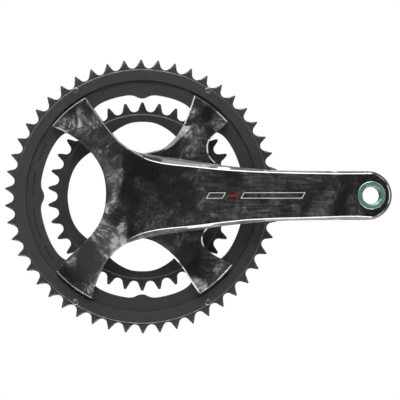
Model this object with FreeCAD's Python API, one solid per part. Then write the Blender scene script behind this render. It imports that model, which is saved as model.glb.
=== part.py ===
import FreeCAD, Part
import math
import os
from FreeCAD import Vector

# Right-hand bicycle crank with two chainrings, a half-axle and its bearing. Millimetres.
# +X runs along the crank arm, +Z is up, and the axle lies along Y with the bike's centre plane at y = 0.
# The outside of the bike is at -Y, so "front" below means the face at -Y.

# ---- driving dimensions ----
crank_length = 172.5          # axle centre to pedal centre
chain_pitch = 12.7
roller_seat_radius = 3.95
big_ring_plane = -47.0        # middle of the big ring's teeth
small_ring_plane = -40.0      # middle of the small ring's teeth
big_bolt_radius = 72.5        # 145 mm bolt circle
small_bolt_radius = 56.0      # 112 mm bolt circle
spider_angles = (50, 130, 230, 310)
spider_tip_radius = 86.4
spider_back = -49.4
pedal_face = -72.75           # half the tread width
hub_front = -64.0
hub_back = -45.5
arm_end_radius = 18.3
arm_end_centre = crank_length - 2.9
axle_radius = 12.5

# Teeth: seat_lift is how much shallower the seats are than the roller circle, low_side and steep_side how far
# round the seat runs up each flank in degrees, and lean how far the tip stands off the tooth's middle.
big_form = {
    "teeth": 50, "first_tooth": 4.26, "tip_radius": 104.7, "tip_half_width": 0.55, "tip_round": 0.25,
    "lean": -0.45, "seat_lift": 0.7, "low_side": 64, "steep_side": 75,
}
small_form = {
    "teeth": 34, "first_tooth": 90 - 8 * 360 / 34, "tip_radius": 72.4, "tip_half_width": 1.0, "tip_round": 0.5,
    "lean": 0.0, "seat_lift": 0.2, "low_side": 77, "steep_side": 77,
}
tooth_half_thickness = 1.1
tip_half_thickness = 0.45
bevel_width = 0.9             # of the bevel on each big tooth's counter-clockwise flank
bevel_depth = 0.75
bevel_lead = 0.6
big_ring_half_body = 2.0
big_tab_half_body = 3.0
small_tab_half_body = 1.5

# Inner edges of the rings, as degrees from the tab or from the window's middle, and radius
big_tab = ((0, 65.9), (3.5, 66.9), (6, 70.4), (8, 73.6), (10.5, 76.0), (14, 77.5), (19, 78.1))
big_window = ((0, 74.9), (2.2, 75.5), (4.4, 77.0), (7, 77.9), (11, 78.1))
small_tab = ((0, 49.9), (4, 50.5), (8.6, 52.0), (15, 53.9), (24, 56.0))
small_window = ((0, 57.4), (9, 57.2))

# Fasteners and pins
bolt_head_radius = 5.3
bolt_head_height = 2.4
bolt_shank_radius = 3.0
bolt_hole_radius = 3.1
big_counterbore = 1.8
small_counterbore = 1.2
socket_core = 1.85
socket_lobe = 0.55
socket_depth = 1.7
insert_radius = 4.75
big_insert_depth = 5.6
small_insert_depth = 9.0
insert_floor = 0.8
bolt_tip_gap = 1.2            # from a bolt's tip to the bottom of its pocket
pin_angles = (58, 122, 238, 302)
pin_circle = 95.0
pin_radius = 2.0
catch_pin_circle = 84.0
catch_pin_radius = 2.5
catch_pin_front = -51.6

# Pedal eye
pedal_thread_radius = 6.6
pedal_insert_radius = 9.0
pedal_insert_back = -59.75
pedal_washer_radius = 10.4
pedal_washer_bore = 7.35
pedal_washer_seat = -71.5
pedal_washer_front = -73.0

# Axle
socket_radius = 15.5
socket_front = -60.5
axle_front = -59.0
axle_bolt_radius = 7.0
face_teeth = 20
face_tooth_depth = 2.6

# Bearing, 25 x 37 x 6.5
bearing_outer_radius = 18.5
bearing_back = -38.0
bearing_front = -44.5
ball_radius = 1.75
ball_count = 17
ball_clearance = 0.05
race_gap = 1.0                # from the ball circle to each race
seal_step = 0.5
seal_depth = 0.75
seal_thickness = 0.5
cage_half_wall = 0.7
cage_half_width = 2.3

bearing_middle = (bearing_back + bearing_front) / 2
ball_circle = (axle_radius + bearing_outer_radius) / 2
big_seat = big_ring_plane - 0.5       # front face of the big ring's bolt tabs
small_seat = small_ring_plane - small_tab_half_body

# Bevels along the crank arm: x, the lip's start, the bend and the outline across the arm, then the depths of the
# bend and of the outline below the front face
lip_width = 0.7
upper_rows = (
    (-14, 39.2, 39.7, 40.2, 0.15, 0.4), (-4, 31.2, 32.8, 33.6, 0.7, 2.6), (10, 25.4, 28.7, 30.8, 1.4, 5.5),
    (30, 22.3, 25.5, 27.9, 1.7, 6.0), (50, 20.2, 23.0, 25.0, 1.9, 5.6), (75, 18.1, 19.9, 21.5, 2.5, 5.4),
    (100, 16.9, 18.3, 19.4, 2.0, 4.2), (130, 16.1, 17.5, 18.6, 2.0, 4.1), (173, 16.0, 17.4, 18.5, 2.0, 4.1),
)
lower_rows = (
    (-17, 40.0, 40.5, 41.0, 0.15, 0.4), (-8, 32.2, 34.0, 35.2, 0.7, 2.6), (10, 25.8, 28.6, 30.6, 1.4, 5.5),
    (30, 23.4, 25.4, 27.4, 1.6, 5.8), (50, 21.2, 23.0, 24.6, 1.9, 5.2), (75, 18.3, 19.9, 21.4, 2.4, 5.2),
    (100, 16.9, 18.3, 19.4, 2.0, 4.2), (130, 16.1, 17.5, 18.6, 2.0, 4.1), (173, 16.0, 17.4, 18.5, 2.0, 4.1),
)
# The same bevel round the pedal end, as radius and depth
end_rows = ((15.6, -0.4), (16.7, 0.7), (17.4, 2.0), (18.8, 4.6))
# Slopes on the hub's left side and on the upper spider arm's left edge, as (x, z, depth) pairs
hub_slope = (
    ((-46.4, 40.3, 0), (-46.9, 39.6, 0.2)), ((-38.4, 35.6, 0), (-39.8, 34.2, 0.9)),
    ((-29.4, 28.6, 0), (-34.2, 26.4, 2.2)), ((-19.5, 19.0, 0), (-29.4, 17.4, 3.8)),
    ((-14.0, 7.5, 0), (-27.0, 6.0, 4.6)), ((-17.0, -5.5, 0), (-27.1, -4.5, 4.0)),
    ((-26.2, -17.5, 0), (-29.6, -16.6, 1.6)), ((-34.0, -23.2, 0), (-34.6, -22.8, 0.2)),
)
side_arm_slope = (
    ((11.4, 33.4, 0), (10.2, 35.0, 0.2)), ((21.2, 36.4, 0), (18.4, 38.8, 1.0)),
    ((30.6, 44.6, 0), (26.3, 46.6, 1.6)), ((38.8, 53.6, 0), (31.6, 54.6, 2.2)),
)
# Front of the two spider arms beside the crank arm, and the back of the crank arm
side_front_profile = ((10, -59.6), (32, -58.6), (62, -55.4), (90, -53.6))
arm_back_profile = ((56, -49.4), (64, -51.9), (110, -53.6), (148, -57.6), (163, -59.75), (200, -59.75))

os.makedirs("parts", exist_ok=True)


# ---- small helpers ----
def point(x, z, y=0.0):
    return Vector(x, y, z)


def polar(radius, degrees, y=0.0):
    angle = math.radians(degrees)
    return Vector(radius * math.cos(angle), y, radius * math.sin(angle))


def smooth(t):
    t = min(max(t, 0.0), 1.0)
    return t * t * (3 - 2 * t)


def cylinder(radius, back, front, centre=Vector(0, 0, 0)):
    return Part.makeCylinder(radius, back - front, Vector(centre.x, back, centre.z), Vector(0, -1, 0))


def tube(inner, outer, back, front, centre=Vector(0, 0, 0)):
    return cylinder(outer, back, front, centre).cut(cylinder(inner, back + 1, front - 1, centre))


def plate(wire, back, front):
    """A flat solid of the wire's outline, from y = back to y = front."""
    flat = wire.copy()
    flat.translate(Vector(0, back, 0))
    return Part.Face(flat).extrude(Vector(0, front - back, 0))


def turned(profile):
    """A solid of revolution about the axle from (radius, y) corners."""
    corners = [Vector(radius, y, 0) for radius, y in profile]
    return Part.Face(Part.makePolygon(corners + corners[:1])).revolve(Vector(0, 0, 0), Vector(0, 1, 0), 360)


def around(shape, angles):
    """Copies of a shape that stands at angle 0, turned to each angle about the axle."""
    copies = []
    for degrees in angles:
        copy = shape.copy()
        copy.rotate(Vector(0, 0, 0), Vector(0, 1, 0), -degrees)
        copies.append(copy)
    return copies


def spline(points):
    curve = Part.BSplineCurve()
    curve.interpolate(points)
    return curve.toShape()


def save(name, shape):
    solids = shape.Solids
    volume = sum(solid.Volume for solid in solids)
    print(f"{name}: {len(solids)} solid(s), valid {shape.isValid()}, {volume:.0f} mm3")
    shape.exportStep(f"parts/{name}.step")


# ---- chainrings ----
def roller_seat(form, tooth):
    """Start, bottom and end of the round seat that follows the tooth at an angle, counter-clockwise."""
    pitch_radius = chain_pitch / (2 * math.sin(math.pi / form["teeth"]))
    middle_angle = tooth + 180 / form["teeth"]
    middle = polar(pitch_radius + form["seat_lift"], middle_angle)
    sides = (form["low_side"], 0, -form["steep_side"])
    return [middle + polar(roller_seat_radius, middle_angle + 180 + side) for side in sides]


def tooth_tip(form, tooth):
    """The clockwise corner, the crest and the counter-clockwise corner of a tooth's tip."""
    radius = form["tip_radius"]
    middle = tooth + math.degrees(form["lean"] / radius)
    half_angle = math.degrees(form["tip_half_width"] / radius)
    corner = radius - form["tip_round"]
    return polar(corner, middle - half_angle), polar(radius, middle), polar(corner, middle + half_angle)


def tooth_outline(form):
    """Closed wire of roller seats and teeth."""
    edges = []
    step = 360 / form["teeth"]
    for k in range(form["teeth"]):
        tooth = form["first_tooth"] + k * step
        right, crest, left = tooth_tip(form, tooth)
        start, bottom, end = roller_seat(form, tooth)
        edges.append(Part.Arc(right, crest, left).toShape())
        edges.append(Part.LineSegment(left, start).toShape())
        edges.append(Part.Arc(start, bottom, end).toShape())
        edges.append(Part.LineSegment(end, tooth_tip(form, tooth + step)[0]).toShape())
    return Part.Wire(edges)


def flank_bevels(form, face):
    """Wedges that bevel the front corner of each tooth's counter-clockwise flank."""
    wedges = []
    for k in range(form["teeth"]):
        tooth = form["first_tooth"] + k * 360 / form["teeth"]
        tip = tooth_tip(form, tooth)[2]
        foot = roller_seat(form, tooth)[0]
        along = (tip - foot).normalize()
        aside = along.cross(Vector(0, 1, 0))
        if aside.dot(polar(1, tooth + 90)) > 0:
            aside = aside * -1
        start = foot - along * bevel_lead + Vector(0, face, 0)
        inner = start + aside * bevel_width
        lead = Vector(0, -bevel_lead, 0)
        corners = [start - aside + lead, inner + lead, inner, start - aside + Vector(0, 2 * bevel_depth, 0)]
        side = Part.Face(Part.makePolygon(corners + corners[:1]))
        wedges.append(side.extrude(along * ((tip - foot).Length + 2 * bevel_lead)))
    return wedges


def inner_outline(tab_shape, window_shape):
    """Closed smooth inner edge: a tab at each spider arm and a gentle wave in the middle of each window."""
    points = []
    for middle, half_span in ((0, 50), (90, 40), (180, 50), (270, 40)):
        half = list(window_shape) + [(half_span - degrees, radius) for degrees, radius in reversed(tab_shape)]
        left = [(middle - degrees, radius) for degrees, radius in reversed(half)]
        right = [(middle + degrees, radius) for degrees, radius in half[1:-1]]
        points += [polar(radius, degrees) for degrees, radius in left + right]
    curve = Part.BSplineCurve()
    curve.interpolate(points, PeriodicFlag=True)
    return Part.Wire(curve.toShape())


def mirrored(front_half, plane):
    """A ring's section: (radius, half thickness) from the bore out, then back along the other side."""
    front = [(radius, plane - half) for radius, half in front_half]
    return front + [(radius, plane + half) for radius, half in reversed(front_half)]


def big_chainring():
    plane = big_ring_plane
    reach = big_form["tip_radius"] + 0.4
    step_radius = 88.2
    teeth_start = 101.5
    section = mirrored([
        (step_radius + 0.5, big_ring_half_body), (96.5, big_ring_half_body), (97.1, tooth_half_thickness),
        (teeth_start, tooth_half_thickness), (reach, tip_half_thickness),
    ], plane)
    back = plane + big_tab_half_body
    section = [(60, big_seat), (step_radius, big_seat)] + section + [(step_radius, back), (60, back)]
    teeth = plate(tooth_outline(big_form), plane + 5, plane - 5)
    opening = plate(inner_outline(big_tab, big_window), plane + 6, plane - 6)
    ring = turned(section).common(teeth).cut(opening)
    bevels = flank_bevels(big_form, plane - tooth_half_thickness)
    ring = ring.cut(Part.makeCompound(bevels))
    for centre in bolt_centres(big_bolt_radius):
        ring = ring.cut(cylinder(bolt_hole_radius, plane + 6, plane - 6, centre))
        ring = ring.cut(cylinder(bolt_head_radius + 0.1, plane + 6, back - big_counterbore, centre))
    scallop = cylinder(9, plane + 4, plane + 1.2, polar(103, 0))
    for cut in around(scallop, [angle + 3 for angle in pin_angles]):
        ring = ring.cut(cut)
    for angle in pin_angles:
        ring = ring.cut(cylinder(pin_radius, plane + 6, plane - 6, polar(pin_circle, angle)))
    return ring.cut(cylinder(catch_pin_radius, plane + 6, plane - 6, polar(catch_pin_circle, 0)))


def small_chainring():
    plane = small_ring_plane
    reach = small_form["tip_radius"] + 0.4
    section = mirrored([
        (45, small_tab_half_body), (62.6, small_tab_half_body), (63.4, tooth_half_thickness),
        (69, tooth_half_thickness), (reach, tip_half_thickness),
    ], plane)
    teeth = plate(tooth_outline(small_form), plane + 5, plane - 5)
    opening = plate(inner_outline(small_tab, small_window), plane + 6, plane - 6)
    ring = turned(section).common(teeth).cut(opening)
    for centre in bolt_centres(small_bolt_radius):
        ring = ring.cut(cylinder(bolt_hole_radius, plane + 6, plane - 6, centre))
        seat = plane + small_tab_half_body - small_counterbore
        ring = ring.cut(cylinder(bolt_head_radius + 0.1, plane + 6, seat, centre))
    return ring


# ---- fasteners and pins ----
def bolt_centres(radius):
    return [polar(radius, angle) for angle in spider_angles]


def star_socket(centre, back, depth):
    """A six-lobed screwdriver socket that opens at y = back."""
    socket = cylinder(socket_core, back + 1, back - depth, centre)
    for k in range(6):
        socket = socket.fuse(cylinder(socket_lobe, back + 1, back - depth, centre + polar(socket_core, 60 * k)))
    return socket


def ring_bolt(centre, head_seat, shank_end):
    """Screwed in from the bike's side: a domed head, a shank and a star socket."""
    head_back = head_seat + bolt_head_height
    head = cylinder(bolt_head_radius, head_back, head_seat, centre)
    head = head.makeChamfer(0.6, [edge for edge in head.Edges if edge.BoundBox.YMin > head_back - 0.01])
    shank = cylinder(bolt_shank_radius, head_seat, shank_end, centre)
    shank = shank.makeChamfer(0.5, [edge for edge in shank.Edges if edge.BoundBox.YMax < shank_end + 0.01])
    return head.fuse(shank).removeSplitter().cut(star_socket(centre, head_back, socket_depth))


def threaded_insert(centre, seat, depth):
    """Alloy insert bonded into the carbon, blind at its front end."""
    sleeve = cylinder(insert_radius, seat, seat - depth, centre)
    groove = tube(insert_radius - 0.3, insert_radius + 1, seat - depth / 2 + 0.5, seat - depth / 2 - 0.5, centre)
    return sleeve.cut(groove).cut(cylinder(bolt_shank_radius, seat + 1, seat - depth + insert_floor, centre))


def upshift_pin(angle):
    """Steel pin that lifts the chain: a cone at the back, a small round head at the front."""
    centre = polar(pin_circle, angle)
    plane = big_ring_plane
    shank = cylinder(pin_radius, plane + 2, plane - 2, centre)
    head = cylinder(pin_radius + 0.35, plane - 2, plane - 2.45, centre)
    lift = Part.makeCone(2.4, 1.6, 1.4, Vector(centre.x, plane + 2, centre.z), Vector(0, 1, 0))
    return shank.fuse(head).fuse(lift).removeSplitter()


def chain_catch_pin():
    """Stands behind the crank arm so that a dropped chain can't wedge between the arm and the ring."""
    centre = polar(catch_pin_circle, 0)
    shank = cylinder(catch_pin_radius, big_ring_plane + 3, catch_pin_front, centre)
    shank = shank.makeChamfer(0.5, [edge for edge in shank.Edges if edge.BoundBox.YMax < catch_pin_front + 0.01])
    return shank


# ---- crank arm, one carbon moulding with four spider arms ----
def arm_front(x, z):
    """Depth of the moulding's front face: level at the hub, out to the pedal, back to the spider's tips."""
    radius = math.hypot(x, z)
    rise = (hub_front - pedal_face) * smooth(x / crank_length)
    fall = 10.0 * smooth((radius - 22) / 66) * smooth((12 - x) / 34)
    crown = 0.0016 * min(abs(z), 34) ** 2 * smooth((x + 10) / 50)
    return hub_front - rise + fall + crown


def front_block():
    """Everything behind the front face, as one large solid."""
    columns = [[Vector(x, arm_front(x, z), z) for z in range(-96, 97, 12)] for x in range(-84, 205, 12)]
    surface = Part.BSplineSurface()
    surface.interpolate(columns)
    return surface.toShape().extrude(Vector(0, 60, 0))


def main_outline():
    """The arm, the hub and the two rear spider arms, seen from the front."""
    top_right = polar(spider_tip_radius, 119.6)
    top_left = polar(spider_tip_radius, 142)
    low_left = polar(spider_tip_radius, 221.3)
    low_right = polar(spider_tip_radius, 244.2)
    end = arm_end_centre
    above = [
        (end, arm_end_radius), (150, 18.3), (130, 18.4), (110, 18.8), (90, 19.9), (75, 21.4), (60, 23.2),
        (40, 26.2), (20, 29.1), (5, 31.4), (-6, 34.0), (-12, 37.4), (-18, 42.6), (-24, 49.6), (-33, 61.6),
    ]
    left = [
        (-56, 47.2), (-44, 38.8), (-35.5, 29.6), (-29.5, 18.8), (-26.9, 6), (-27, -4), (-30.2, -17.9),
        (-38.9, -30.7), (-55.5, -46.7),
    ]
    below = [
        (-34.5, -66), (-28.5, -53), (-22, -44), (-13.5, -37.3), (-3, -33.2), (12, -30.2), (30, -27.2),
        (45, -25.2), (60, -23.0), (75, -21.3), (90, -19.9), (110, -18.8), (130, -18.4), (150, -18.3),
        (end, -arm_end_radius),
    ]
    return Part.Wire([
        spline([point(x, z) for x, z in above] + [top_right]),
        Part.Arc(top_right, polar(spider_tip_radius, 131), top_left).toShape(),
        spline([top_left] + [point(x, z) for x, z in left] + [low_left]),
        Part.Arc(low_left, polar(spider_tip_radius, 233), low_right).toShape(),
        spline([low_right] + [point(x, z) for x, z in below]),
        Part.Arc(point(end, -arm_end_radius), point(end + arm_end_radius, 0), point(end, arm_end_radius)).toShape(),
    ])


def upper_arm_outline():
    """The spider arm above the crank arm, which comes out from under the crank arm's edge."""
    tip_left = polar(spider_tip_radius, 62.4)
    tip_right = polar(spider_tip_radius, 40.9)
    left = [(0, 32.4), (10.4, 34.2), (18.9, 38.2), (26.9, 45.9), (32.5, 55.8), (36.3, 65.3)]
    right = [(59.5, 50.7), (53.2, 45.2), (50.4, 38.5), (51, 32), (54.8, 26.6), (61, 23.2)]
    return Part.Wire([
        spline([point(x, z) for x, z in left] + [tip_left]),
        Part.Arc(tip_left, polar(spider_tip_radius, 51), tip_right).toShape(),
        spline([tip_right] + [point(x, z) for x, z in right]),
        Part.LineSegment(point(61, 23.2), point(56, 14)).toShape(),
        Part.LineSegment(point(56, 14), point(0, 14)).toShape(),
        Part.LineSegment(point(0, 14), point(0, 32.4)).toShape(),
    ])


def lower_arm_outline():
    """The spider arm below the crank arm."""
    tip_left = polar(spider_tip_radius, -59.3)
    tip_right = polar(spider_tip_radius, -37.2)
    left = [(-2, -33.0), (10.4, -36), (20.9, -43.3), (28.7, -51.4), (37.1, -64)]
    right = [(59.5, -47.2), (50.2, -41), (46.2, -34), (47.6, -27.8), (54, -23.4)]
    return Part.Wire([
        spline([point(x, z) for x, z in left] + [tip_left]),
        Part.Arc(tip_left, polar(spider_tip_radius, -48), tip_right).toShape(),
        spline([tip_right] + [point(x, z) for x, z in right]),
        Part.LineSegment(point(54, -23.4), point(50, -14)).toShape(),
        Part.LineSegment(point(50, -14), point(-2, -14)).toShape(),
        Part.LineSegment(point(-2, -14), point(-2, -33.0)).toShape(),
    ])


def sector(angle, half_width, back, front):
    """A pie slice about the axle, used to keep the ring seats on the spider arms."""
    reach = 120
    corners = [Vector(0, 0, 0), polar(reach, angle - half_width), polar(reach, angle + half_width), Vector(0, 0, 0)]
    return plate(Part.makePolygon(corners), back, front)


def side_front(x, z):
    """Depth of the front face of the two spider arms beside the crank arm."""
    radius = math.hypot(x, z)
    for (near, near_depth), (far, far_depth) in zip(side_front_profile, side_front_profile[1:]):
        if radius <= far:
            return near_depth + (far_depth - near_depth) * (radius - near) / (far - near)
    return side_front_profile[-1][1]


def slope_cutter(stations, front):
    """What a long bevel takes off a front face. A station is a list of (x, z, depth below the face), from the
    bevel's inner edge to the outline; the cutter runs smoothly through its stations."""
    wires = []
    for station in stations:
        corners = [Vector(x, front(x, z) + depth, z) for x, z, depth in station]
        outward = corners[-1] - corners[0]
        outward = Vector(outward.x, 0, outward.z).normalize()
        inner = corners[0] - (corners[1] - corners[0]).normalize() * 0.4
        far = corners[-1] + outward * 6
        above = [Vector(far.x, -85, far.z), Vector(inner.x, -85, inner.z)]
        loop = [inner] + corners[1:] + [far] + above
        wires.append(Part.makePolygon(loop + loop[:1]))
    return Part.makeLoft(wires, True, False)


def edge_bevel(side, rows):
    """A bevel along the crank arm, with a narrow lip at 45 degrees along its inner edge."""
    stations = []
    for x, line, bend, edge, bend_depth, edge_depth in rows:
        lip = 0.1 + (lip_width - 0.1) * smooth((x + 14) / 30)
        stations.append([
            (x, side * line, 0), (x, side * (line + lip), lip), (x, side * bend, bend_depth),
            (x, side * edge, edge_depth),
        ])
    return slope_cutter(stations, arm_front)


def end_bevel():
    """The same bevel round the pedal end."""
    centre = Vector(arm_end_centre, 0, 0)
    outside = arm_end_radius + 6
    corners = list(end_rows) + [(outside, end_rows[-1][1]), (outside, -12), (end_rows[0][0], -12)]
    points = [centre + Vector(radius, pedal_face + depth, 0) for radius, depth in corners]
    face = Part.Face(Part.makePolygon(points + points[:1]))
    face.rotate(centre, Vector(0, 1, 0), 90)
    return face.revolve(centre, Vector(0, 1, 0), -180)


def main_body():
    """The crank arm, the hub and the two spider arms behind it, with rounded and bevelled front edges."""
    body = plate(main_outline(), spider_back, -80).common(front_block())
    front_edges = []
    for edge in body.Edges:
        middle = edge.valueAt((edge.FirstParameter + edge.LastParameter) / 2)
        if abs(middle.y - arm_front(middle.x, middle.z)) < 0.4 and edge.Length > 1:
            front_edges.append(edge)
    body = body.makeFillet(1.2, front_edges)
    bevels = (edge_bevel(1, upper_rows), edge_bevel(-1, lower_rows), end_bevel(), slope_cutter(hub_slope, arm_front))
    for bevel in bevels:
        body = body.cut(bevel)
    return body


def side_arms():
    """The two spider arms that come out from under the crank arm."""
    corners = [(10, spider_back)] + list(side_front_profile) + [(90, spider_back)]
    front = turned(corners)
    arms = []
    for outline in (upper_arm_outline(), lower_arm_outline()):
        arm = plate(outline, spider_back, -70).common(front)
        arms.append(arm.makeChamfer(1.0, [edge for edge in arm.Edges if on_side_front(edge)]))
    arms[0] = arms[0].cut(slope_cutter(side_arm_slope, side_front))
    return arms


def ring_seats():
    """Pads on the spider arms' backs, stepped forward or back to each ring's tabs."""
    whole = plate(main_outline(), -40, -60)
    for outline in (upper_arm_outline(), lower_arm_outline()):
        whole = whole.fuse(plate(outline, -40, -60))
    small_seats = turned([(45, -50), (45, small_seat - 3), (48, small_seat), (63, small_seat), (63, -50)])
    big_seats = turned([(62, -50), (62, big_seat), (spider_tip_radius, big_seat), (spider_tip_radius, -50)])
    seats = []
    for angle in spider_angles:
        seats.append(whole.common(small_seats).common(sector(angle, 9, -40, -60)))
        seats.append(whole.common(big_seats).common(sector(angle, 9.5, -40, -60)))
    return seats


def crank_arm():
    moulding = main_body()
    for arm in side_arms():
        moulding = moulding.fuse(arm)
    profile = [(arm_back_profile[0][0], -40)] + list(arm_back_profile) + [(arm_back_profile[-1][0], -40)]
    corners = [Vector(x, y, -60) for x, y in profile]
    behind_arm = Part.Face(Part.makePolygon(corners + corners[:1])).extrude(Vector(0, 0, 120))
    moulding = moulding.cut(behind_arm)
    for seat in ring_seats():
        moulding = moulding.fuse(seat)
    hub = turned([(0, -58), (0, hub_back), (20, hub_back), (24, spider_back), (26, -50), (26, -58)])
    moulding = moulding.fuse(hub)
    moulding = moulding.cut(cylinder(socket_radius, hub_back + 1, socket_front))
    for centre in bolt_centres(big_bolt_radius):
        moulding = moulding.cut(cylinder(insert_radius, big_seat + 1, big_seat - big_insert_depth, centre))
    for centre in bolt_centres(small_bolt_radius):
        moulding = moulding.cut(cylinder(insert_radius, small_seat + 1, small_seat - small_insert_depth, centre))
    pedal = polar(crank_length, 0)
    moulding = moulding.cut(cylinder(pedal_insert_radius, -50, -80, pedal))
    moulding = moulding.cut(cylinder(pedal_washer_radius, pedal_washer_seat, -80, pedal))
    return moulding.removeSplitter()


def on_side_front(edge):
    middle = edge.valueAt((edge.FirstParameter + edge.LastParameter) / 2)
    return middle.y < -53.5 and math.hypot(middle.x, middle.z) > 33 and abs(middle.z) > 24


# ---- pedal eye ----
def pedal_insert():
    """Alloy sleeve that takes the pedal's thread."""
    centre = polar(crank_length, 0)
    return tube(pedal_thread_radius, pedal_insert_radius, pedal_insert_back, pedal_washer_seat, centre)


def pedal_washer():
    """Anodised ring that the pedal's shoulder bears on."""
    centre = polar(crank_length, 0)
    ring = tube(pedal_washer_bore, pedal_washer_radius, pedal_washer_seat, pedal_washer_front, centre)
    return ring.makeChamfer(0.35, [edge for edge in ring.Edges if edge.BoundBox.YMax < pedal_washer_front + 0.01])


# ---- axle ----
def axle_socket():
    """Alloy cup bonded into the carbon hub, which holds the axle."""
    cup = cylinder(socket_radius, hub_back, socket_front)
    return cup.cut(cylinder(axle_radius, hub_back + 1, axle_front))


def half_axle():
    """Steel half-axle: face teeth at the bike's centre, a bolt thread inside, a bearing seat and a bonded end."""
    outline = [
        (axle_radius - 0.6, 0), (axle_radius - 0.6, bearing_back + 2), (axle_radius, bearing_back + 1.4),
        (axle_radius, axle_front), (10, axle_front), (10, -22), (axle_bolt_radius, -20.5),
        (axle_bolt_radius, -3.6), (8.6, -3), (8.6, 0),
    ]
    axle = turned(outline)
    half_angle = 360 / face_teeth / 4
    reach = 14.0
    rim = [polar(reach, -2 * half_angle, face_tooth_depth), polar(reach, 2 * half_angle, face_tooth_depth)]
    root = polar(reach, 0, -face_tooth_depth)
    apex = Vector(0, 0, 0)
    triangles = [(rim[0], rim[1], root), (apex, rim[1], rim[0]), (apex, root, rim[1]), (apex, rim[0], root)]
    faces = [Part.Face(Part.makePolygon([a, b, c, a])) for a, b, c in triangles]
    notch = Part.Solid(Part.Shell(faces))
    step = 360 / face_teeth
    for cut in around(notch, [k * step for k in range(face_teeth)]):
        axle = axle.cut(cut)
    return axle


# ---- bearing ----
def ball_groove():
    middle = Vector(0, bearing_middle, 0)
    return Part.makeTorus(ball_circle, ball_radius + ball_clearance, middle, Vector(0, 1, 0))


def inner_race():
    return tube(axle_radius, ball_circle - race_gap, bearing_back, bearing_front).cut(ball_groove())


def outer_race():
    inside = ball_circle + race_gap
    profile = [
        (bearing_outer_radius, bearing_back), (inside + seal_step, bearing_back),
        (inside + seal_step, bearing_back - seal_depth), (inside, bearing_back - seal_depth),
        (inside, bearing_front + seal_depth), (inside + seal_step, bearing_front + seal_depth),
        (inside + seal_step, bearing_front), (bearing_outer_radius, bearing_front),
    ]
    return turned(profile).cut(ball_groove())


def bearing_seal(back):
    return tube(ball_circle - race_gap + 0.1, ball_circle + race_gap + seal_step, back, back - seal_thickness)


def ball_centres():
    return [polar(ball_circle, k * 360 / ball_count, bearing_middle) for k in range(ball_count)]


def bearing_balls():
    return Part.makeCompound([Part.makeSphere(ball_radius, centre) for centre in ball_centres()])


def bearing_cage():
    back, front = bearing_middle + cage_half_width, bearing_middle - cage_half_width
    cage = tube(ball_circle - cage_half_wall, ball_circle + cage_half_wall, back, front)
    for k in range(ball_count):
        outward = polar(1, k * 360 / ball_count)
        start = outward * (ball_circle - 3) + Vector(0, bearing_middle, 0)
        cage = cage.cut(Part.makeCylinder(ball_radius + ball_clearance, 6, start, outward))
    return cage


def dust_seal():
    """Rubber ring between the bearing and the hub, with a thin lip."""
    return turned([
        (axle_radius, bearing_front), (14.0, bearing_front), (14.4, bearing_front - 0.35),
        (17.6, bearing_front - 0.2), (17.6, hub_back), (axle_radius, hub_back),
    ])


# ---- all sub-parts ----
save("crank_arm", crank_arm())
save("pedal_insert", pedal_insert())
save("pedal_washer", pedal_washer())
save("axle_socket", axle_socket())
save("half_axle", half_axle())
save("bearing_inner_race", inner_race())
save("bearing_outer_race", outer_race())
save("bearing_balls", bearing_balls())
save("bearing_cage", bearing_cage())
save("bearing_seal_inner", bearing_seal(bearing_back - 0.1))
save("bearing_seal_outer", bearing_seal(bearing_front + 0.6))
save("dust_seal", dust_seal())
save("big_chainring", big_chainring())
save("small_chainring", small_chainring())

big_head_seat = big_ring_plane + big_tab_half_body - big_counterbore
small_head_seat = small_ring_plane + small_tab_half_body - small_counterbore
big_bolt_tip = big_seat - big_insert_depth + bolt_tip_gap
small_bolt_tip = small_seat - small_insert_depth + bolt_tip_gap
save("big_ring_bolts", Part.makeCompound([
    ring_bolt(centre, big_head_seat, big_bolt_tip) for centre in bolt_centres(big_bolt_radius)
]))
save("small_ring_bolts", Part.makeCompound([
    ring_bolt(centre, small_head_seat, small_bolt_tip) for centre in bolt_centres(small_bolt_radius)
]))
save("big_ring_inserts", Part.makeCompound([
    threaded_insert(centre, big_seat, big_insert_depth) for centre in bolt_centres(big_bolt_radius)
]))
save("small_ring_inserts", Part.makeCompound([
    threaded_insert(centre, small_seat, small_insert_depth) for centre in bolt_centres(small_bolt_radius)
]))
save("upshift_pins", Part.makeCompound([upshift_pin(angle) for angle in pin_angles]))
save("chain_catch_pin", chain_catch_pin())
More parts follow.
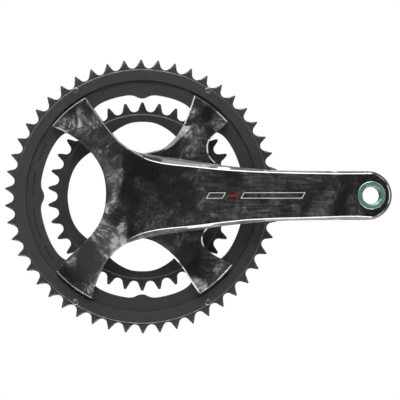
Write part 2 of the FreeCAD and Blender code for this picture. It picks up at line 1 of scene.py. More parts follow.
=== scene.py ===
import math
import bpy
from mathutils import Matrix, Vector


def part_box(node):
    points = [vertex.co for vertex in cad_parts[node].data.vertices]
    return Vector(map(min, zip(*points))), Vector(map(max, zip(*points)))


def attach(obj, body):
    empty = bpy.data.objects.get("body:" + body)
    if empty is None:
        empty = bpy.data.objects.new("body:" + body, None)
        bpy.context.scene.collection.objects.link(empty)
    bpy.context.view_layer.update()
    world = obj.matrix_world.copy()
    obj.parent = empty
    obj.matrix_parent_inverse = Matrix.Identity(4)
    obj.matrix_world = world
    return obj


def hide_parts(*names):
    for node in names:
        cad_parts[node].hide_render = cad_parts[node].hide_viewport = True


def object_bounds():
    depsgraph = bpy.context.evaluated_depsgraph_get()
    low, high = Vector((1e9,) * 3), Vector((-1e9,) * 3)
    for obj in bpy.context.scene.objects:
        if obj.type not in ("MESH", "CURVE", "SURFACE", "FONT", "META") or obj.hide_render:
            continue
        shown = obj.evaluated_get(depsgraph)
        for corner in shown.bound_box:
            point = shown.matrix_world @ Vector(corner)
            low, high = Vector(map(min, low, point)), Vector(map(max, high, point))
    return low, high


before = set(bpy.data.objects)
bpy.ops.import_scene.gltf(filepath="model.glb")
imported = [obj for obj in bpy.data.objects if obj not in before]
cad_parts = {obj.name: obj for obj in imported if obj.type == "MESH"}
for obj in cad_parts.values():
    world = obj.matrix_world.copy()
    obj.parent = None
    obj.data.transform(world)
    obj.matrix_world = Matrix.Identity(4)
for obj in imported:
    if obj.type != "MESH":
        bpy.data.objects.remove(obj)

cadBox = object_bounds()
mm = 0.001
scene = bpy.context.scene
print("frame loaded:", len(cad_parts), "nodes")


# ---- node trees: shader maths, and a finish with its own material ----
class Wire:
    def __init__(self, tree, socket):
        self.tree = tree
        self.socket = socket

    def maths(self, operation, first, second):
        return self.tree.node("ShaderNodeMath", {"operation": operation}, {0: first, 1: second})

    def __add__(self, other):
        return self.maths("ADD", self, other)

    def __radd__(self, other):
        return self.maths("ADD", other, self)

    def __sub__(self, other):
        return self.maths("SUBTRACT", self, other)

    def __rsub__(self, other):
        return self.maths("SUBTRACT", other, self)

    def __mul__(self, other):
        return self.maths("MULTIPLY", self, other)

    def __rmul__(self, other):
        return self.maths("MULTIPLY", other, self)

    def __pow__(self, other):
        return self.maths("POWER", self, other)

    def __or__(self, other):      # the larger of two values
        return self.maths("MAXIMUM", self, other)


class Tree:
    def __init__(self, nodeTree):
        self.nodes = nodeTree.nodes
        self.links = nodeTree.links

    def node(self, kind, settings, inputs, output=0):
        made = self.nodes.new(kind)
        for key, value in settings.items():
            if key == "stops":
                self.setStops(made.color_ramp, value)
            else:
                setattr(made, key, value)
        for key, value in inputs.items():
            self.feed(made.inputs[key], value)
        return Wire(self, made.outputs[output])

    def feed(self, socket, value):
        if isinstance(value, Wire):
            self.links.new(value.socket, socket)
        else:
            socket.default_value = value

    def setStops(self, ramp, stops):
        while len(ramp.elements) < len(stops):
            ramp.elements.new(0.5)
        for element, (position, tone) in zip(ramp.elements, stops):
            element.position = position
            element.color = tone

    def cameraSees(self, seen, reflected, output):      # one shader for the camera, one for reflections
        path = self.node("ShaderNodeLightPath", {}, {}, "Is Camera Ray")
        either = self.node("ShaderNodeMixShader", {}, {0: path, 1: reflected, 2: seen})
        self.feed(self.nodes[output].inputs["Surface"], either)


class Finish(Tree):
    def __init__(self, name, constants):
        self.material = bpy.data.materials.new(name)
        self.material.use_nodes = True
        super().__init__(self.material.node_tree)
        self.shader = self.nodes["Principled BSDF"]
        for socket, value in constants.items():
            self.shader.inputs[socket].default_value = value
        self.place = self.node("ShaderNodeTexCoord", {}, {}, "Object")
        self.axes = [self.node("ShaderNodeSeparateXYZ", {}, {0: self.place}, axis) for axis in "XYZ"]

    def noise(self, place, scale, detail=3.0, output=0, distortion=0.0):
        inputs = {"Vector": place, "Scale": scale, "Detail": detail, "Distortion": distortion}
        return self.node("ShaderNodeTexNoise", {}, inputs, output)

    def vector(self, operation, first, second, output=0):
        return self.node("ShaderNodeVectorMath", {"operation": operation}, {0: first, 1: second}, output)

    def away(self, place, centre):           # how far a place is from a point
        return self.vector("DISTANCE", place, centre, "Value")

    def step(self, value, start, end):       # 0 before start, 1 after end, smooth between
        inputs = {"Value": value, "From Min": start, "From Max": end}
        return self.node("ShaderNodeMapRange", {"interpolation_type": "SMOOTHSTEP"}, inputs)

    def fade(self, value, start, end):       # 1 before start, 0 after end
        inputs = {"Value": value, "From Min": start, "From Max": end, "To Min": 1.0, "To Max": 0.0}
        return self.node("ShaderNodeMapRange", {"interpolation_type": "SMOOTHSTEP"}, inputs)

    def mix(self, factor, first, second):
        inputs = {0: factor, 6: first, 7: second}
        return self.node("ShaderNodeMix", {"data_type": "RGBA"}, inputs, 2)

    def ramp(self, value, stops):
        return self.node("ShaderNodeValToRGB", {"stops": stops}, {0: value})

    def bump(self, height, depth, strength=1.0, edge=0.0):      # edge rounds the corners' shading
        inputs = {"Height": height, "Distance": depth, "Strength": strength}
        if edge:
            inputs["Normal"] = self.node("ShaderNodeBevel", {"samples": 6}, {"Radius": edge})
        self.feed(self.shader.inputs["Normal"], self.node("ShaderNodeBump", {}, inputs))

    def paint(self, **sockets):
        for name, value in sockets.items():
            self.feed(self.shader.inputs[name.replace("_", " ")], value)


def grey(tone):
    return (tone, tone, tone, 1)


# ---- camera, light and stage ----
eye = {"place": (0.0443, -1.197, -0.0300), "tilt": 91.35, "lens": 135.6, "sensor": 36}

lamps = {
    "overhead": {
        "place": (-0.12, -0.02, 0.80), "aim": (-0.12, -0.02, 0.0), "size": (0.80, 0.30), "watts": 16
    },
    "highBehind": {
        "place": (-0.225, 0.52, 0.76), "aim": (-0.225, -0.05, 0.03), "size": (0.60, 0.42), "watts": 22
    },
    "underneath": {
        "place": (-0.10, -0.02, -0.58), "aim": (-0.10, -0.02, 0.0), "size": (0.78, 0.22), "watts": 9
    },
    "lowBehind": {
        "place": (-0.205, 0.36, -0.56), "aim": (-0.205, -0.05, -0.03), "size": (0.52, 0.30), "watts": 8
    },
    "skyFront": {
        "place": (-0.10, -1.30, 1.90), "aim": (0.04, -0.05, 0.0), "size": (2.6, 1.2), "watts": 62
    },
    "pedalSide": {
        "place": (0.90, 0.02, 0.05), "aim": (0.17, -0.06, 0.0), "size": (0.24, 0.60), "watts": 5
    },
    "upperLeft": {
        "place": (-0.72, -0.02, 0.66), "aim": (0.0, -0.05, 0.0), "size": (0.55, 0.45), "watts": 8
    },
    "upperRight": {
        "place": (0.66, -0.03, 0.57), "aim": (0.0, -0.05, 0.0), "size": (0.20, 0.30), "watts": 1.2
    },
    "lowerLeft": {
        "place": (-0.62, -0.03, -0.50), "aim": (0.0, -0.05, 0.0), "size": (0.24, 0.24), "watts": 1.5
    },
    "lowerRight": {
        "place": (0.60, -0.03, -0.50), "aim": (0.0, -0.05, 0.0), "size": (0.20, 0.24), "watts": 1
    },
}

stage = {
    "floor": -0.62, "width": 8.0, "pale": 0.55,
    "middleTone": 0.72, "rimTone": 0.80, "middle": 0.8, "rim": 3.6,
    "walls": 0.80, "backdrop": 1.0, "backdropEdge": (0.90, 0.975),     # seen: a white backdrop, pale walls
    "front": 0.05, "rear": 0.15, "frontToRear": (-0.95, 0.1),          # reflected: dark in front
}


def aimAt(thing, target):
    direction = Vector(target) - thing.location
    thing.rotation_euler = direction.to_track_quat("-Z", "Y").to_euler()


def makeCamera():
    bpy.ops.object.camera_add(location=eye["place"], rotation=(math.radians(eye["tilt"]), 0, 0))
    camera = bpy.context.object
    camera.data.lens = eye["lens"]
    camera.data.sensor_width = eye["sensor"]
    scene.camera = camera


def makeLamps():
    for name, lamp in lamps.items():
        bpy.ops.object.light_add(type="AREA", location=lamp["place"])
        light = bpy.context.object
        light.name = name
        light.data.shape = "RECTANGLE"
        light.data.size, light.data.size_y = lamp["size"]
        light.data.energy = lamp["watts"]
        light.visible_camera = False
        aimAt(light, lamp["aim"])


def makeSurround():
    world = bpy.data.worlds.new("surround")
    world.use_nodes = True
    tree = Tree(world.node_tree)
    direction = tree.node("ShaderNodeTexCoord", {}, {}, "Generated")
    towardsBack = tree.node("ShaderNodeSeparateXYZ", {}, {0: direction}, "Y")
    white = (1, 1, 1, 1)

    def glow(ends, low, high):
        inputs = {"Value": towardsBack, "From Min": ends[0], "From Max": ends[1]}
        inputs.update({"To Min": low, "To Max": high})
        strength = tree.node("ShaderNodeMapRange", {}, inputs)
        return tree.node("ShaderNodeBackground", {}, {"Color": white, "Strength": strength})

    seen = glow(stage["backdropEdge"], stage["walls"], stage["backdrop"])
    reflected = glow(stage["frontToRear"], stage["front"], stage["rear"])
    tree.cameraSees(seen, reflected, "World Output")
    scene.world = world
    scene.view_settings.view_transform = "Standard"


# a finite floor, so that it stays below the front view
def makeFloor():
    bpy.ops.object.select_all(action="DESELECT")
    bpy.ops.mesh.primitive_plane_add(size=stage["width"], location=(0, 0, stage["floor"]))
    floor = bpy.context.object
    floor.name = "floor"
    bpy.ops.object.transform_apply(location=True, rotation=False, scale=False)
    look = Finish("paleFloor", {"Roughness": 0.9, "Base Color": grey(stage["pale"])})
    reach = look.away(look.place, (0, 0, 0))
    rim = look.step(reach, stage["middle"], stage["rim"])
    tone = look.mix(rim, grey(stage["middleTone"]), grey(stage["rimTone"]))
    glow = look.node("ShaderNodeEmission", {}, {"Color": tone})
    look.cameraSees(glow, Wire(look, look.shader.outputs[0]), "Material Output")
    floor.data.materials.append(look.material)


makeCamera()
makeLamps()
makeSurround()
makeFloor()
print("camera,", len(lamps), "lamps and floor placed")


# ---- moulded carbon, chips of fibre under a clear lacquer ----
carbon = {
    "chipScale": 58, "smallChipScale": 120, "smallChipOffset": (0.31, 0.12, 0.07), "smallChipShare": 0.8,
    "wanderScale": 42, "warp": 0.018, "fibreLength": 95, "fibreSlimness": 4.5, "fibreEdges": (0.34, 0.74),
    "chipContrast": 1.3, "betweenFibres": 0.22,
    "cloudScale": 30, "cloudEdges": (0.34, 0.62), "marbleGain": 1.25,
    "speckleScale": 420, "speckleEdges": (0.36, 0.66), "speckleGain": 0.10,
    "tones": (
        (0.0, grey(0.0015)), (0.22, grey(0.014)), (0.50, grey(0.060)), (1.0, (0.330, 0.330, 0.335, 1)),
    ),
    "lacquer": {"Coat Weight": 1.0, "Coat Roughness": 0.05, "Coat IOR": 1.5, "Specular IOR Level": 0.25},
    "rough": 0.30, "roughRange": 0.25, "roughScale": 140,
    "waveScale": 55, "waveDepth": 0.02 * mm, "edgeRadius": 0.6 * mm,
}

straightGrain = {        # the long fibres of the arm, between the hub and the pedal
    "from": (0.030, 0.060), "to": (0.140, 0.147), "raggedScale": 120, "ragged": 0.012, "marbleLeft": 0.8,
    "scale": 60, "slimness": 9, "edges": (0.34, 0.66), "gain": 0.24,
    "blotchScale": 40, "blotchEdges": (0.34, 0.62), "blotchGain": 0.10,
    "dimmed": 0.30, "blotchShare": 0.85,
    "speckleGain": 0.08, "speckleLost": 0.06,
    "lighterFrom": (0.055, 0.105), "lighter": 0.06,
}

calmPlaces = {           # smooth dark places, at the hub's face and round the pedal
    "hub": (0.012, 0, 0.006), "hubEdge": (0.016, 0.036), "hubShare": 0.62,
    "pedalFrom": (0.147, 0.153), "pedalShare": 0.72,
}

foldHighlightPaint = {             # painted highlight: the lit fold left of the hub, lighter inside a circle's edge
    "centre": (-0.0768, 0, 0.0223), "edge": (0.0626, 0.0641), "wander": 0.004, "gain": 0.36,
    "left": (-0.044, -0.020), "bottom": (-0.022, 0.004), "top": (0.020, 0.040),
    "even": 0.45, "cloudShare": 0.5,
}

paintedHighlightsAndDarkPatches = (              # painted highlights, where chips and facets catch the light, or, with a gain below 0, dark patches: x, z, radius, gain
    (-0.063, 0.054, 0.008, 0.22), (-0.048, 0.052, 0.009, 0.15), (-0.038, 0.028, 0.011, 0.20),
    (-0.031, -0.014, 0.010, 0.15), (-0.036, -0.026, 0.009, 0.10), (-0.017, -0.034, 0.008, 0.50),
    (-0.025, -0.041, 0.007, 0.35), (0.008, -0.017, 0.019, 0.26), (0.036, -0.010, 0.020, 0.14),
    (0.036, 0.066, 0.008, 0.50), (0.058, 0.056, 0.007, 0.45), (0.033, 0.049, 0.007, 0.50),
    (0.042, -0.068, 0.008, 0.75), (0.060, -0.055, 0.007, 0.45), (0.026, -0.040, 0.007, 0.20),
    (-0.040, -0.047, 0.013, -0.55), (-0.052, -0.061, 0.011, -0.45), (0.034, -0.046, 0.013, -0.50),
    (0.050, 0.062, 0.006, -0.40), (-0.050, 0.040, 0.006, -0.35), (0.002, 0.024, 0.016, -0.25),
    (0.107, -0.008, 0.007, -0.24), (0.124, -0.009, 0.004, -0.22), (0.112, 0.013, 0.005, -0.15),
    (0.160, 0.012, 0.005, 0.16), (0.158, -0.003, 0.005, 0.20), (0.160, -0.013, 0.006, 0.20),
    (0.150, 0.006, 0.004, 0.16), (0.070, -0.010, 0.012, 0.12), (0.066, 0.011, 0.014, -0.12),
)
highlightPatchLook = {
    "edgeScale": 110, "wander": 1.4, "solid": 0.55,       # the last two are shares of a patch's radius
    "even": 0.45, "marbleShare": 0.6, "speckleShare": 0.3,
}


def chips(look, scale, offset):
    wander = look.noise(look.place, carbon["wanderScale"], 5, "Color")
    middle = look.vector("SUBTRACT", wander, (0.5, 0.5, 0.5))
    shift = look.vector("MULTIPLY", middle, (carbon["warp"],) * 3)
    moved = look.vector("ADD", look.vector("ADD", look.place, shift), offset)
    cell = look.node("ShaderNodeTexVoronoi", {}, {"Vector": moved, "Scale": scale}, "Color")
    turn = look.node("ShaderNodeSeparateColor", {}, {0: cell}, "Red")
    tone = look.node("ShaderNodeSeparateColor", {}, {0: cell}, "Green")
    inputs = {"Vector": moved, "Angle": turn * (2 * math.pi)}
    turned = look.node("ShaderNodeVectorRotate", {"rotation_type": "Y_AXIS"}, inputs)
    fibres = look.vector("MULTIPLY", turned, (1, 1, carbon["fibreSlimness"]))
    streak = look.step(look.noise(fibres, carbon["fibreLength"], 6, distortion=0.5), *carbon["fibreEdges"])
    between = carbon["betweenFibres"]
    return tone ** carbon["chipContrast"] * (between + streak * (1 - between))


def marbling(look, flat, cloud):
    small = chips(look, carbon["smallChipScale"], carbon["smallChipOffset"]) * carbon["smallChipShare"]
    marble = chips(look, carbon["chipScale"], (0, 0, 0)) | small
    marble = marble * look.step(cloud, *carbon["cloudEdges"]) * carbon["marbleGain"]
    hub = look.fade(look.away(flat, calmPlaces["hub"]), *calmPlaces["hubEdge"]) * calmPlaces["hubShare"]
    pedal = look.step(look.axes[0], *calmPlaces["pedalFrom"]) * calmPlaces["pedalShare"]
    return marble * (1 - (hub | pedal))


def straightFibres(look, speckle):
    grain = straightGrain
    laid = look.vector("MULTIPLY", look.place, (1, 1, grain["slimness"]))
    fibre = look.step(look.noise(laid, grain["scale"], 8, distortion=0.4), *grain["edges"]) * grain["gain"]
    blotch = look.noise(look.place, grain["blotchScale"], 8, distortion=1.6)
    blotch = look.step(blotch, *grain["blotchEdges"])
    lighter = look.step(look.axes[0], *grain["lighterFrom"]) * grain["lighter"]
    fibre = fibre * (grain["dimmed"] + blotch * grain["blotchShare"])
    return fibre + blotch * grain["blotchGain"] + speckle * grain["speckleGain"] + lighter


def alongArm(look):      # 1 where the straight fibres are, with a ragged end at the pedal
    ragged = (look.noise(look.place, straightGrain["raggedScale"], 3) - 0.5) * straightGrain["ragged"]
    start = look.step(look.axes[0], *straightGrain["from"])
    return start * look.fade(look.axes[0] + ragged, *straightGrain["to"])


# paints the highlight of the lit fold left of the hub into the colour
def paintFoldHighlight(look, flat, cloud):
    reach = look.away(flat, foldHighlightPaint["centre"]) + (cloud - 0.5) * foldHighlightPaint["wander"]
    paintedLight = look.fade(reach, *foldHighlightPaint["edge"]) * look.step(look.axes[0], *foldHighlightPaint["left"])
    paintedLight = paintedLight * look.step(look.axes[2], *foldHighlightPaint["bottom"]) * look.fade(look.axes[2], *foldHighlightPaint["top"])
    return paintedLight * foldHighlightPaint["gain"] * (cloud * foldHighlightPaint["cloudShare"] + foldHighlightPaint["even"])


def carbonFinish():
    look = Finish("mouldedCarbon", carbon["lacquer"])
    flat = look.vector("MULTIPLY", look.place, (1, 0, 1))
    cloud = look.noise(look.place, carbon["cloudScale"], 5, distortion=1.5)
    speckle = look.step(look.noise(look.place, carbon["speckleScale"], 5), *carbon["speckleEdges"])
    marble = marbling(look, flat, cloud)
    along = alongArm(look)
    tone = marble * (1 - along * straightGrain["marbleLeft"]) + straightFibres(look, speckle) * along
    tone = tone + speckle * (carbon["speckleGain"] - along * straightGrain["speckleLost"])
    # painted highlight of the fold left of the hub
    tone = tone + paintFoldHighlight(look, flat, cloud)
    wander = (look.noise(look.place, highlightPatchLook["edgeScale"], 4) - 0.5) * highlightPatchLook["wander"]
    grain = marble * highlightPatchLook["marbleShare"] + speckle * highlightPatchLook["speckleShare"] + highlightPatchLook["even"]
    # painted highlights and dark patches added into the colour
    for x, z, radius, gain in paintedHighlightsAndDarkPatches:
        reach = look.away(flat, (x, 0, z)) + wander * radius
        tone = tone + look.fade(reach, radius * highlightPatchLook["solid"], radius) * gain * grain
    look.paint(Base_Color=look.ramp(tone, carbon["tones"]))
    rough = look.noise(look.place, carbon["roughScale"], 2)
    look.paint(Roughness=carbon["rough"] + rough * carbon["roughRange"])
    wave = look.noise(look.place, carbon["waveScale"], 1)
    look.bump(wave, carbon["waveDepth"], edge=carbon["edgeRadius"])
    return look.material


# ---- chainring alloy, turned and hard anodised ----
ringFinishes = {"bigRing": 0.060, "smallRing": 0.048}       # how light each ring's anodising is
turning = {
    "alloy": {"Metallic": 0.55, "Specular IOR Level": 0.4},
    "linesEachMetre": 1900, "lineDetail": 4.0, "grainScale": 900, "mottleScale": 60,
    "lineShare": 0.45, "grainShare": 0.35, "mottleShare": 0.35, "edges": (0.35, 0.85),
    "dark": 0.72, "light": 1.35, "bluish": 1.38,
    "rough": 0.38, "roughLines": 0.10, "roughGrain": 0.10,
    "bumpLines": 0.7, "bumpGrain": 0.5, "strength": 0.6, "depth": 0.012 * mm, "edgeRadius": 0.25 * mm,
}


def ringFinish(name, tone):
    look = Finish(name, turning["alloy"])
    radius = look.vector("LENGTH", look.vector("MULTIPLY", look.place, (1, 0, 1)), (0, 0, 0), "Value")
    inputs = {"W": radius * turning["linesEachMetre"], "Detail": turning["lineDetail"]}
    rings = look.node("ShaderNodeTexNoise", {"noise_dimensions": "1D"}, inputs)
    grain = look.noise(look.place, turning["grainScale"], 3)
    mottled = look.noise(look.place, turning["mottleScale"], 4)
    shade = rings * turning["lineShare"] + grain * turning["grainShare"] + mottled * turning["mottleShare"]
    dark, light = tone * turning["dark"], tone * turning["light"]
    first, last = turning["edges"]
    stops = ((first, grey(dark)), (last, (light, light, tone * turning["bluish"], 1)))
    look.paint(Base_Color=look.ramp(shade, stops))
    look.paint(Roughness=turning["rough"] + rings * turning["roughLines"] + grain * turning["roughGrain"])
    height = rings * turning["bumpLines"] + grain * turning["bumpGrain"]
    look.bump(height, turning["depth"], turning["strength"], edge=turning["edgeRadius"])
    return look.material


# ---- metals: bare, polished and coloured ----
metals = {
    "silverAlloy": {"tone": (0.50, 0.51, 0.525, 1), "rough": 0.30, "metallic": 1.0},
    "greenAnodised": {"tone": (0.165, 0.315, 0.235, 1), "rough": 0.36, "metallic": 0.45},
    "bearingSteel": {"tone": (0.60, 0.60, 0.61, 1), "rough": 0.12, "metallic": 1.0},
    "pinSteel": {"tone": (0.20, 0.20, 0.203, 1), "rough": 0.36, "metallic": 0.9},
    "boltSteel": {"tone": (0.060, 0.060, 0.063, 1), "rough": 0.30, "metallic": 0.85},
    "axleSteel": {"tone": (0.13, 0.13, 0.135, 1), "rough": 0.40, "metallic": 0.95},
}
metalWear = {
    "grainScale": 1300, "stainScale": 110, "stainWarp": 0.6, "stainShare": 0.7,
    "dull": 0.78, "bright": 1.12, "edges": (0.35, 0.65),
    "roughGrain": 0.12, "roughStain": 0.10, "strength": 0.5, "depth": 0.006 * mm,
}


def metalFinish(name, metal):
    wear = metalWear
    look = Finish(name, {"Metallic": metal["metallic"]})
    grain = look.noise(look.place, wear["grainScale"], 4)
    stain = look.noise(look.place, wear["stainScale"], 4, distortion=wear["stainWarp"])
    dull = [part * wear["dull"] for part in metal["tone"][:3]] + [1]
    bright = [min(part * wear["bright"], 1) for part in metal["tone"][:3]] + [1]
    worn = look.step(stain * wear["stainShare"] + grain * (1 - wear["stainShare"]), *wear["edges"])
    look.paint(Base_Color=look.mix(worn, dull, bright))
    rough = (grain - 0.5) * wear["roughGrain"] + (stain - 0.5) * wear["roughStain"]
    look.paint(Roughness=rough + metal["rough"])
    look.bump(grain, wear["depth"], wear["strength"])
    return look.material


# ---- rubber and nylon ----
softs = {
    "sealRubber": {"tone": 0.012, "rough": 0.62, "pebble": 700},
    "cageNylon": {"tone": 0.030, "rough": 0.48, "pebble": 450},
}
softBloom = {
    "scale": 90, "share": 0.5, "dark": 0.7, "light": 1.9, "edges": (0.35, 0.70),
    "roughRange": 0.2, "specular": 0.45, "strength": 0.5, "depth": 0.02 * mm,
}


def softFinish(name, soft):
    look = Finish(name, {"Specular IOR Level": softBloom["specular"]})
    pebble = look.noise(look.place, soft["pebble"], 3)
    bloom = look.noise(look.place, softBloom["scale"], 4)
    shade = pebble * (1 - softBloom["share"]) + bloom * softBloom["share"]
    tones = [grey(soft["tone"] * softBloom[end]) for end in ("dark", "light")]
    look.paint(Base_Color=look.ramp(shade, tuple(zip(softBloom["edges"], tones))))
    look.paint(Roughness=soft["rough"] + (bloom - 0.5) * softBloom["roughRange"])
    look.bump(pebble, softBloom["depth"], softBloom["strength"])
    return look.material


# ---- printed and engraved marks ----
prints = {
    "silverPrint": {"tone": (0.78, 0.76, 0.76, 1), "rough": 0.34, "metallic": 0.2},
    "redPrint": {"tone": (0.17, 0.014, 0.024, 1), "rough": 0.32, "metallic": 0.1},
    "engraved": {"tone": (0.003, 0.003, 0.003, 1), "rough": 0.60, "metallic": 0.0},
}

finishes = {"carbon": carbonFinish()}
finishes.update({name: ringFinish(name, tone) for name, tone in ringFinishes.items()})
finishes.update({name: metalFinish(name, metal) for name, metal in metals.items()})
finishes.update({name: softFinish(name, soft) for name, soft in softs.items()})
finishes.update({name: metalFinish(name, mark) for name, mark in prints.items()})

nodeFinishes = {
    "crank_arm": "carbon", "big_chainring": "bigRing", "small_chainring": "smallRing",
    "big_ring_bolts": "boltSteel", "small_ring_bolts": "boltSteel",
    "big_ring_inserts": "silverAlloy", "small_ring_inserts": "silverAlloy",
    "upshift_pins": "pinSteel", "chain_catch_pin": "pinSteel",
    "pedal_insert": "silverAlloy", "pedal_washer": "greenAnodised",
    "axle_socket": "silverAlloy", "half_axle": "axleSteel",
    "bearing_inner_race": "bearingSteel", "bearing_outer_race": "bearingSteel",
    "bearing_balls": "bearingSteel", "bearing_cage": "cageNylon",
    "bearing_seal_inner": "sealRubber", "bearing_seal_outer": "sealRubber", "dust_seal": "sealRubber",
}
for name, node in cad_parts.items():
    node.data.materials.clear()
    node.data.materials.append(finishes[nodeFinishes[name]])
print("finishes on", len(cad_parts), "nodes")


# ---- modelling helpers ----
pedalBox = [Vector(corner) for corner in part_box("pedal_insert")]
pedalCentre = (pedalBox[0] + pedalBox[1]) / 2


def clearSelection():
    if bpy.context.object and bpy.context.object.mode != "OBJECT":
        bpy.ops.object.mode_set(mode="OBJECT")
    bpy.ops.object.select_all(action="DESELECT")


def pick(piece, kind, test):        # leaves edit mode on, with only what passes the test selected
    bpy.ops.object.mode_set(mode="EDIT")
    bpy.ops.mesh.select_mode(type=kind)
    bpy.ops.mesh.select_all(action="DESELECT")
    bpy.ops.object.mode_set(mode="OBJECT")
    for part in piece.data.polygons if kind == "FACE" else piece.data.edges:
        part.select = test(part)
    bpy.ops.object.mode_set(mode="EDIT")


def pickFaces(piece, test):
    pick(piece, "FACE", test)


def settle(piece):                  # puts the piece's place into its mesh
    clearSelection()
    piece.select_set(True)
    bpy.context.view_layer.objects.active = piece
    bpy.ops.object.transform_apply(location=True, rotation=True, scale=True)


def copyOf(piece, move=(0, 0, 0), turn=0.0):     # turn is about the axle
    clearSelection()
    piece.select_set(True)
    bpy.context.view_layer.objects.active = piece
    bpy.ops.object.duplicate(linked=False)
    twin = bpy.context.object
    twin.rotation_euler = (0, -math.radians(turn), 0)
    twin.location = move
    settle(twin)
    return twin


def joinAll(pieces, name):
    clearSelection()
    for piece in pieces:
        piece.select_set(True)
    bpy.context.view_layer.objects.active = pieces[0]
    bpy.ops.object.join()
    whole = bpy.context.object
    whole.name = name
    return whole


def useModifier(piece, kind, settings):
    clearSelection()
    piece.select_set(True)
    bpy.context.view_layer.objects.active = piece
    modifier = piece.modifiers.new(kind.title(), kind)
    for key, value in settings.items():
        setattr(modifier, key, value)
    bpy.ops.object.modifier_apply(modifier=modifier.name)


def drawOut(along, spread, centre):         # extrudes what is selected along the axle, then widens its end
    bpy.ops.mesh.extrude_region_move(TRANSFORM_OT_translate={"value": (0, along, 0)})
    bpy.ops.transform.resize(
        value=(spread, 1, spread), constraint_axis=(True, False, True), center_override=centre)


def smoothed(piece, degrees=35):
    clearSelection()
    piece.select_set(True)
    bpy.context.view_layer.objects.active = piece
    bpy.ops.object.shade_smooth_by_angle(angle=math.radians(degrees))


def dress(piece, finish, body, replaced=()):
    piece.data.materials.clear()
    piece.data.materials.append(finishes[finish])
    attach(piece, body)
    if replaced:
        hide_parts(*replaced)


# ---- pedal thread, 9/16 inch by 20 turns an inch ----
pedalThread = {
    "outside": 9.0 * mm, "bore": 7.14 * mm, "crest": 6.6 * mm, "pitch": 1.27 * mm,
    "steps": 40, "sides": 64,
}
threadFoot = {"sunk": 0.1 * mm, "halfWidth": 0.46}        # how deep in the wall, and its share of a pitch


def helix(name, centre, start, end, root, crest, pitch, steps):     # a thread's ridge inside a bore
    turns = int((end - start) / pitch) - 1
    clearSelection()
    bpy.ops.mesh.primitive_circle_add(vertices=3, radius=1, fill_type="NOTHING", location=(0, 0, 0))
    ridge = bpy.context.object
    ridge.name = name
    foot, half = root + threadFoot["sunk"], threadFoot["halfWidth"] * pitch
    corners = ((foot, -half), (crest, 0.0), (foot, half))
    for vertex, (radius, along) in zip(ridge.data.vertices, corners):
        vertex.co = (radius, start + pitch + along, 0)
    settings = {
        "axis": "Y", "angle": 2 * math.pi * turns, "screw_offset": pitch * turns,
        "steps": steps * turns, "render_steps": steps * turns,
    }
    useModifier(ridge, "SCREW", settings)
    bpy.ops.object.mode_set(mode="EDIT")
    bpy.ops.mesh.select_mode(type="EDGE")
    bpy.ops.mesh.select_all(action="DESELECT")
    bpy.ops.mesh.select_non_manifold()
    bpy.ops.mesh.fill_holes(sides=3)
    bpy.ops.mesh.select_all(action="SELECT")
    bpy.ops.mesh.normals_make_consistent(inside=False)
    bpy.ops.object.mode_set(mode="OBJECT")
    ridge.location = (centre.x, 0, centre.z)
    settle(ridge)
    return ridge


def sleeve(name, centre, start, end, outside, bore, sides):
    clearSelection()
    middle = (centre.x, (start + end) / 2, centre.z)
    bpy.ops.mesh.primitive_cylinder_add(
        vertices=sides, radius=outside, depth=end - start,
        location=middle, rotation=(math.radians(90), 0, 0))
    ring = bpy.context.object
    ring.name = name
    settle(ring)
    pickFaces(ring, lambda face: abs(face.normal.y) > 0.9)
    bpy.ops.mesh.inset(thickness=outside - bore, use_individual=True)
    bpy.ops.mesh.bridge_edge_loops()
    bpy.ops.object.mode_set(mode="OBJECT")
    return ring


def makePedalThread():
    start, end = pedalBox[0].y, pedalBox[1].y
    shape = pedalThread
    shell = sleeve("pedalSleeve", pedalCentre, start, end, shape["outside"], shape["bore"], shape["sides"])
    ridge = helix(
        "pedalRidge", pedalCentre, start, end, shape["bore"], shape["crest"], shape["pitch"], shape["steps"])
    whole = joinAll([shell, ridge], "pedalThreadSleeve")
    smoothed(whole)
    dress(whole, "silverAlloy", "crank", ["pedal_insert"])


# ---- thread for the axle's bolt ----
axleThread = {
    "start": -19.8 * mm, "end": -4.0 * mm, "root": 7.0 * mm, "crest": 6.62 * mm,
    "pitch": 1.5 * mm, "steps": 40,
}


def makeAxleThread():
    shape = axleThread
    ridge = helix(
        "axleThreadRidge", Vector((0, 0, 0)), shape["start"], shape["end"], shape["root"], shape["crest"],
        shape["pitch"], shape["steps"])
    smoothed(ridge)
    dress(ridge, "axleSteel", "crank")


# ---- chain-lifting pins, riveted through the big ring ----
liftPin = {
    "circle": 95.0 * mm, "angles": (58, 122, 238, 302), "shank": 2.0 * mm, "head": 2.35 * mm,
    "front": -49.45 * mm, "ringFront": -49.0 * mm, "back": -43.6 * mm, "ringBack": -45.0 * mm,
    "headSide": 0.4, "headTop": 0.84, "rim": 0.8 * mm, "dimple": 0.12 * mm, "dimpleFloor": 0.72,
    "tailFoot": 1.2, "tailSide": 0.85, "tailTop": 0.70, "tailEnd": 0.82, "sides": 40,
}


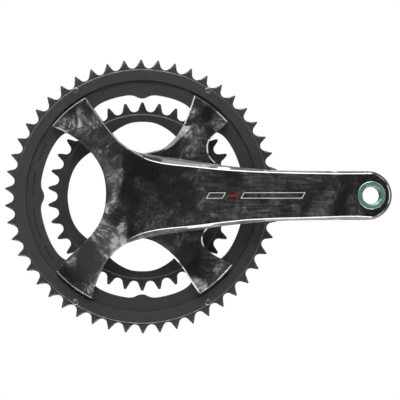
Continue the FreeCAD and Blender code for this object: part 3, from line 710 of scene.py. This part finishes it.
def makeLiftPins():
    shape = liftPin
    clearSelection()
    middle = (shape["circle"], (shape["ringBack"] + shape["ringFront"]) / 2, 0)
    bpy.ops.mesh.primitive_cylinder_add(
        vertices=shape["sides"], radius=shape["shank"], depth=shape["ringBack"] - shape["ringFront"],
        location=middle, rotation=(math.radians(90), 0, 0))
    pin = bpy.context.object
    pin.name = "liftPin"
    settle(pin)
    pickFaces(pin, lambda face: face.normal.y < -0.9)
    headHigh = shape["ringFront"] - shape["front"]
    centre = (shape["circle"], shape["ringFront"], 0)
    drawOut(0, shape["head"] / shape["shank"], centre)
    drawOut(-headHigh * shape["headSide"], 1, centre)
    drawOut(-headHigh * (1 - shape["headSide"]), shape["headTop"], centre)
    bpy.ops.mesh.inset(thickness=shape["rim"])
    drawOut(shape["dimple"], shape["dimpleFloor"], centre)
    pickFaces(pin, lambda face: face.normal.y > 0.9 and face.center.y > shape["ringBack"] - 0.1 * mm)
    reach = shape["back"] - shape["ringBack"]
    drawOut(0, shape["tailFoot"], centre)
    drawOut(reach * shape["tailSide"], shape["tailTop"], centre)
    drawOut(reach * (1 - shape["tailSide"]), shape["tailEnd"], centre)
    bpy.ops.object.mode_set(mode="OBJECT")
    pins = [copyOf(pin, turn=angle) for angle in shape["angles"]]
    bpy.data.objects.remove(pin)
    whole = joinAll(pins, "liftPins")
    smoothed(whole)
    dress(whole, "pinSteel", "crank", ["upshift_pins"])


# ---- plain pinstripe on the crank arm, three slanted frames ----
pinstripe = {
    "slant": 0.56, "line": 0.52 * mm, "thickness": 0.05 * mm, "lift": 0.02 * mm, "cuts": 15,
    "clear": 5 * mm,    # how far in front of the arm a frame is drawn before it is wrapped on
    "frames": (         # name, left, right, half height, finish, hollow
        ("stripeShort", 50.0 * mm, 62.5 * mm, 2.3 * mm, "silverPrint", True),
        ("stripeRed", 65.0 * mm, 73.5 * mm, 1.1 * mm, "redPrint", False),
        ("stripeLong", 76.0 * mm, 122.0 * mm, 2.3 * mm, "silverPrint", True),
    ),
}


def makePinstripe():
    shape = pinstripe
    for name, left, right, half, finish, hollow in shape["frames"]:
        clearSelection()
        middle = ((left + right) / 2, cadBox[0].y - shape["clear"], 0)
        bpy.ops.mesh.primitive_plane_add(size=1, location=middle, rotation=(math.radians(90), 0, 0))
        frameLine = bpy.context.object
        frameLine.name = name
        frameLine.scale = (right - left, 2 * half, 1)
        settle(frameLine)
        for vertex in frameLine.data.vertices:
            vertex.co.x += shape["slant"] * vertex.co.z
        pickFaces(frameLine, lambda face: True)
        if hollow:
            bpy.ops.mesh.inset(thickness=shape["line"])
            bpy.ops.mesh.delete(type="FACE")
        bpy.ops.mesh.select_all(action="SELECT")
        bpy.ops.mesh.subdivide(number_cuts=shape["cuts"])
        bpy.ops.object.mode_set(mode="OBJECT")
        useModifier(frameLine, "SHRINKWRAP", {
            "target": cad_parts["crank_arm"], "wrap_method": "PROJECT", "use_project_y": True,
            "use_positive_direction": True, "use_negative_direction": False, "offset": shape["lift"],
        })
        useModifier(frameLine, "SOLIDIFY", {"thickness": shape["thickness"], "offset": 1.0})
        dress(frameLine, finish, "crank")


# ---- plain dashes on the big ring's inner band ----
ringDash = {
    "radius": 83.2 * mm, "wide": 1.5 * mm, "deep": 0.06 * mm, "face": -47.5 * mm, "corner": 0.35 * mm,
    "groups": ((152.0, 5), (168.5, 6), (187.0, 8), (208.0, 4)), "spacing": 2.1, "long": 2.2 * mm,
}


def makeRingDashes():
    shape = ringDash
    clearSelection()
    bpy.ops.mesh.primitive_cube_add(size=1, location=(shape["radius"], shape["face"], 0))
    dash = bpy.context.object
    dash.name = "ringDash"
    dash.scale = (shape["wide"], shape["deep"], shape["long"])
    settle(dash)

    def upright(edge):
        first, second = (dash.data.vertices[index].co.y for index in edge.vertices)
        return abs(first - second) > shape["deep"] / 2

    pick(dash, "EDGE", upright)
    bpy.ops.mesh.bevel(offset=shape["corner"], segments=3, affect="EDGES")
    bpy.ops.object.mode_set(mode="OBJECT")
    dashes = []
    for first, count in shape["groups"]:
        dashes += [copyOf(dash, turn=first + k * shape["spacing"]) for k in range(count)]
    bpy.data.objects.remove(dash)
    whole = joinAll(dashes, "ringDashes")
    dress(whole, "engraved", "crank")


makePedalThread()
makeAxleThread()
makeLiftPins()
print("threads and pins modelled")
makePinstripe()
makeRingDashes()
print("pinstripe and dashes laid")
